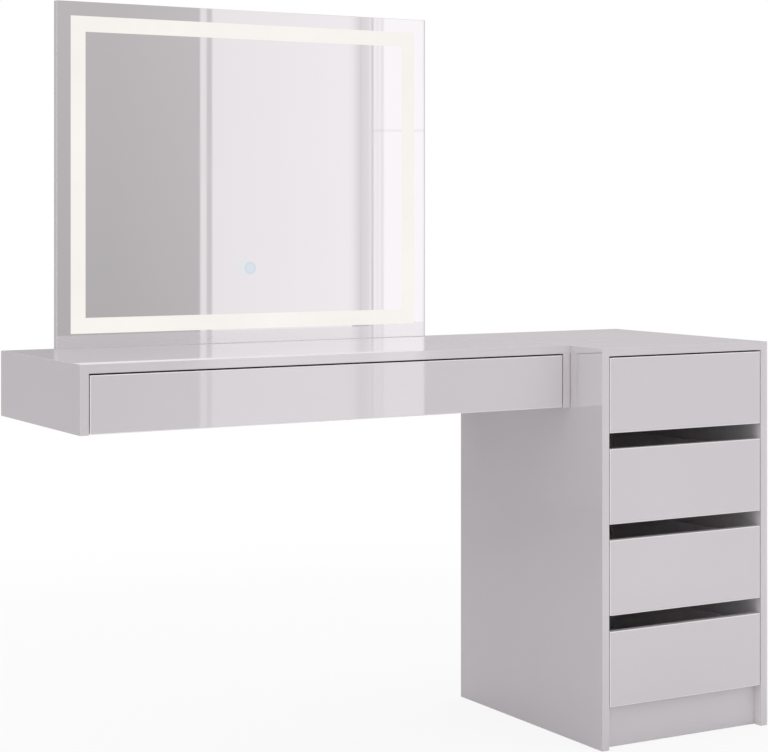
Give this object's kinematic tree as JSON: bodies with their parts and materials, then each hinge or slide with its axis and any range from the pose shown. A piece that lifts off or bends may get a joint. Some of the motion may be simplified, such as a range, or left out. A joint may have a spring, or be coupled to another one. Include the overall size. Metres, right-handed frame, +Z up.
{
  "type": "dressing table with mirror",
  "caption": "Dressing table: a wall-hung desk with one wide flat drawer, a floor-standing chest of open-gap drawers beside it, and an upright mirror with a lit border.",
  "frame": {"origin": "on the floor, in the middle of the whole piece's width and of its depth from the wall to the chest's front", "axes": "+X along the width from the desk towards the chest, +Y back to the wall, +Z up"},
  "size_m": [1.4, 0.5, 1.4073],
  "materials": {
    "gloss_board": "gloss",
    "drawer_board": "satin",
    "hardboard": "satin",
    "coated_steel": "satin",
    "zinc_steel": "satin",
    "mirror_glass": "polished",
    "led_plastic": "satin",
    "sensor_plastic": "gloss"
  },
  "bodies": {
    "cabinet": {"chest_top": "gloss_board", "chest_side_left": "gloss_board", "chest_side_right": "gloss_board", "chest_bottom": "gloss_board", "chest_plinth": "gloss_board", "chest_back_panel": "hardboard", "desk_top": "gloss_board", "desk_side_left": "gloss_board", "desk_side_right": "gloss_board", "desk_rear_rail": "gloss_board", "desk_drawer_cabinet_rail_left": "coated_steel", "desk_drawer_cabinet_rail_right": "coated_steel", "chest_drawer_1_cabinet_rail_left": "coated_steel", "chest_drawer_1_cabinet_rail_right": "coated_steel", "chest_drawer_2_cabinet_rail_left": "coated_steel", "chest_drawer_2_cabinet_rail_right": "coated_steel", "chest_drawer_3_cabinet_rail_left": "coated_steel", "chest_drawer_3_cabinet_rail_right": "coated_steel", "chest_drawer_4_cabinet_rail_left": "coated_steel", "chest_drawer_4_cabinet_rail_right": "coated_steel", "mirror_backing": "gloss_board", "mirror_glass": "mirror_glass", "mirror_led_strip": "led_plastic", "mirror_touch_sensor": "sensor_plastic", "mirror_fixing_plate": "zinc_steel"},
    "desk_drawer": {"desk_drawer_front": "gloss_board", "desk_drawer_side_left": "drawer_board", "desk_drawer_side_right": "drawer_board", "desk_drawer_rear": "drawer_board", "desk_drawer_base": "hardboard", "desk_drawer_rail_left": "coated_steel", "desk_drawer_rail_right": "coated_steel"},
    "chest_drawer_1": {"chest_drawer_1_front": "gloss_board", "chest_drawer_1_side_left": "drawer_board", "chest_drawer_1_side_right": "drawer_board", "chest_drawer_1_rear": "drawer_board", "chest_drawer_1_base": "hardboard", "chest_drawer_1_rail_left": "coated_steel", "chest_drawer_1_rail_right": "coated_steel"},
    "chest_drawer_2": {"chest_drawer_2_front": "gloss_board", "chest_drawer_2_side_left": "drawer_board", "chest_drawer_2_side_right": "drawer_board", "chest_drawer_2_rear": "drawer_board", "chest_drawer_2_base": "hardboard", "chest_drawer_2_rail_left": "coated_steel", "chest_drawer_2_rail_right": "coated_steel"},
    "chest_drawer_3": {"chest_drawer_3_front": "gloss_board", "chest_drawer_3_side_left": "drawer_board", "chest_drawer_3_side_right": "drawer_board", "chest_drawer_3_rear": "drawer_board", "chest_drawer_3_base": "hardboard", "chest_drawer_3_rail_left": "coated_steel", "chest_drawer_3_rail_right": "coated_steel"},
    "chest_drawer_4": {"chest_drawer_4_front": "gloss_board", "chest_drawer_4_side_left": "drawer_board", "chest_drawer_4_side_right": "drawer_board", "chest_drawer_4_rear": "drawer_board", "chest_drawer_4_base": "hardboard", "chest_drawer_4_rail_left": "coated_steel", "chest_drawer_4_rail_right": "coated_steel"}
  },
  "joints": [
    {"name": "desk_drawer_slide", "type": "slide", "parent": "cabinet", "child": "desk_drawer", "axis": [0, -1, 0], "range_m": [0, 0.26]},
    {"name": "chest_drawer_1_slide", "type": "slide", "parent": "cabinet", "child": "chest_drawer_1", "axis": [0, -1, 0], "range_m": [0, 0.34]},
    {"name": "chest_drawer_2_slide", "type": "slide", "parent": "cabinet", "child": "chest_drawer_2", "axis": [0, -1, 0], "range_m": [0, 0.34]},
    {"name": "chest_drawer_3_slide", "type": "slide", "parent": "cabinet", "child": "chest_drawer_3", "axis": [0, -1, 0], "range_m": [0, 0.34]},
    {"name": "chest_drawer_4_slide", "type": "slide", "parent": "cabinet", "child": "chest_drawer_4", "axis": [0, -1, 0], "range_m": [0, 0.34]}
  ]
}
